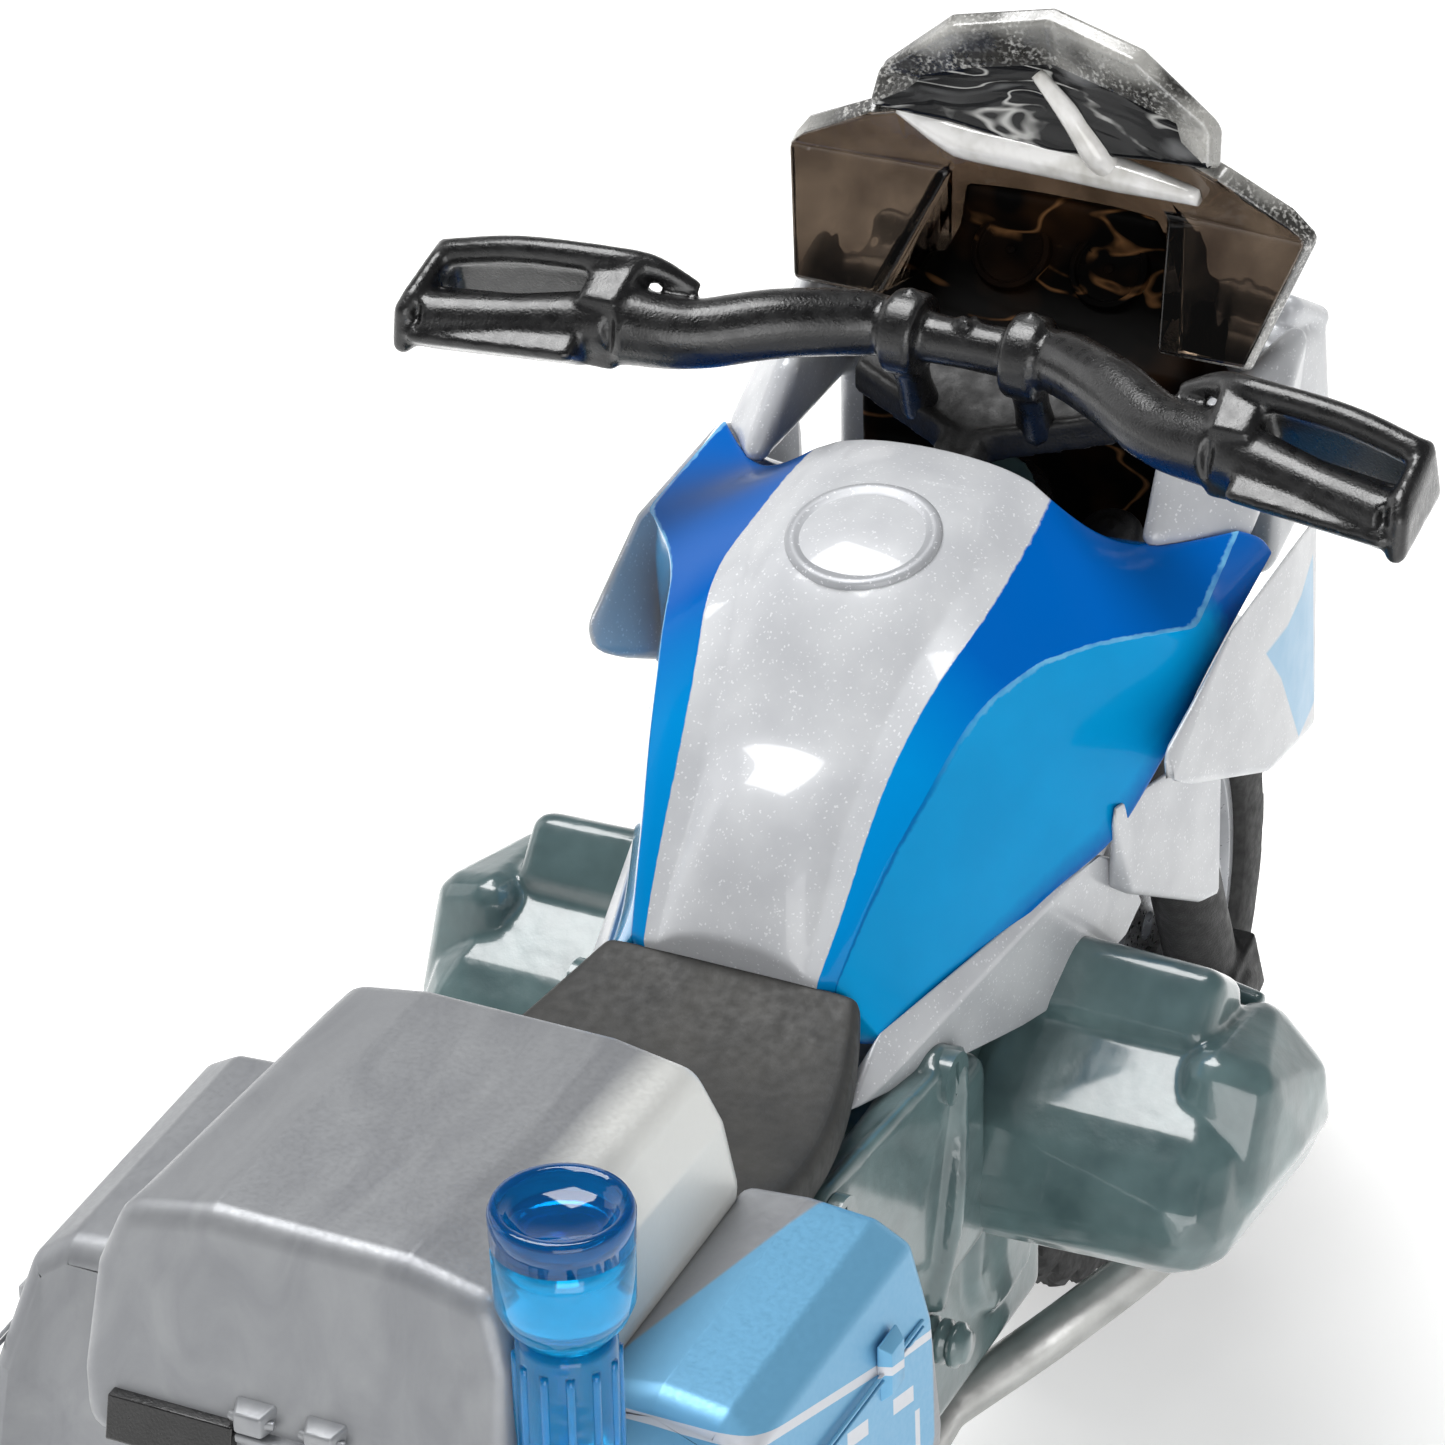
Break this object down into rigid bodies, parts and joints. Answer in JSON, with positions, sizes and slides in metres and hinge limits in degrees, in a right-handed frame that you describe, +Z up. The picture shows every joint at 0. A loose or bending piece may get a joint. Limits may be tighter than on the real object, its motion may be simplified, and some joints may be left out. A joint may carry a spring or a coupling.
{
  "type": "toy motorcycle",
  "caption": "Die-cast toy police touring motorcycle with luggage cases, smoked screen, rear beacon, rolling wheels, steering front end and folding side stand.",
  "frame": {"origin": "on the ground under the middle of the toy, halfway between the front of the front tyre and the back of the rear tyre", "axes": "+X forward, +Y to the rider's left, +Z up"},
  "size_m": [0.0636, 0.0298, 0.0436],
  "materials": {
    "casting_paint": "glossy thick dark grey-green enamel",
    "pearl_silver": "glossy pearl silver with fine glitter",
    "satin_silver": "satin silver-grey moulding",
    "black_plastic": "satin black moulding with fine grain",
    "seat_plastic": "matte dark grey",
    "smoked_clear": "smoked brown-black clear plastic",
    "clear_lens": "clear plastic",
    "blue_clear": "clear blue plastic",
    "red_clear": "clear red plastic",
    "wheel_silver": "silver moulding",
    "tyre_black": "matt black soft plastic",
    "bare_steel": "bright steel",
    "exhaust_silver": "silver"
  },
  "bodies": {
    "motorcycle": {"engine_casting": "casting_paint", "left_cylinder": "casting_paint", "right_cylinder": "casting_paint", "swingarm": "casting_paint", "rear_axle": "bare_steel", "chassis_screws": "bare_steel", "stand_screw": "bare_steel", "tank_shell": "pearl_silver", "filler_cap": "pearl_silver", "left_side_cover": "pearl_silver", "right_side_cover": "pearl_silver", "left_shroud": "pearl_silver", "right_shroud": "pearl_silver", "front_fairing": "pearl_silver", "headlight_lens": "clear_lens", "instrument_panel": "black_plastic", "windscreen": "smoked_clear", "seat": "seat_plastic", "luggage_rack": "black_plastic", "top_case": "satin_silver", "left_pannier": "satin_silver", "right_pannier": "satin_silver", "beacon_pole": "blue_clear", "beacon_lens": "blue_clear", "rear_mudguard": "black_plastic", "tail_light": "red_clear", "exhaust_header": "exhaust_silver", "exhaust_silencer": "exhaust_silver", "foot_pegs": "casting_paint"},
    "steering_front_end": {"handlebar": "black_plastic", "fork": "black_plastic", "front_mudguard": "pearl_silver", "front_axle": "bare_steel", "steering_pin": "bare_steel"},
    "front_wheel": {"front_rim": "wheel_silver", "front_tyre": "tyre_black", "front_brake_discs": "bare_steel"},
    "rear_wheel": {"rear_rim": "wheel_silver", "rear_tyre": "tyre_black", "rear_brake_disc": "bare_steel"},
    "side_stand": {"side_stand": "black_plastic"}
  },
  "joints": [
    {"name": "steering", "type": "hinge", "parent": "motorcycle", "child": "steering_front_end", "pos_m": [0.02096, 0, 0.0098], "axis": [-0.3746, 0, 0.9272], "range_deg": [-15, 15]},
    {"name": "front_wheel_spin", "type": "hinge", "parent": "steering_front_end", "child": "front_wheel", "pos_m": [0.0217, 0, 0.0101], "axis": [0, 1, 0], "continuous": true},
    {"name": "rear_wheel_spin", "type": "hinge", "parent": "motorcycle", "child": "rear_wheel", "pos_m": [-0.0219, 0, 0.0099], "axis": [0, 1, 0], "continuous": true},
    {"name": "side_stand_fold", "type": "hinge", "parent": "motorcycle", "child": "side_stand", "pos_m": [-0.0018, 0.0056, 0.0098], "axis": [0, 1, 0], "range_deg": [0, 80]}
  ]
}
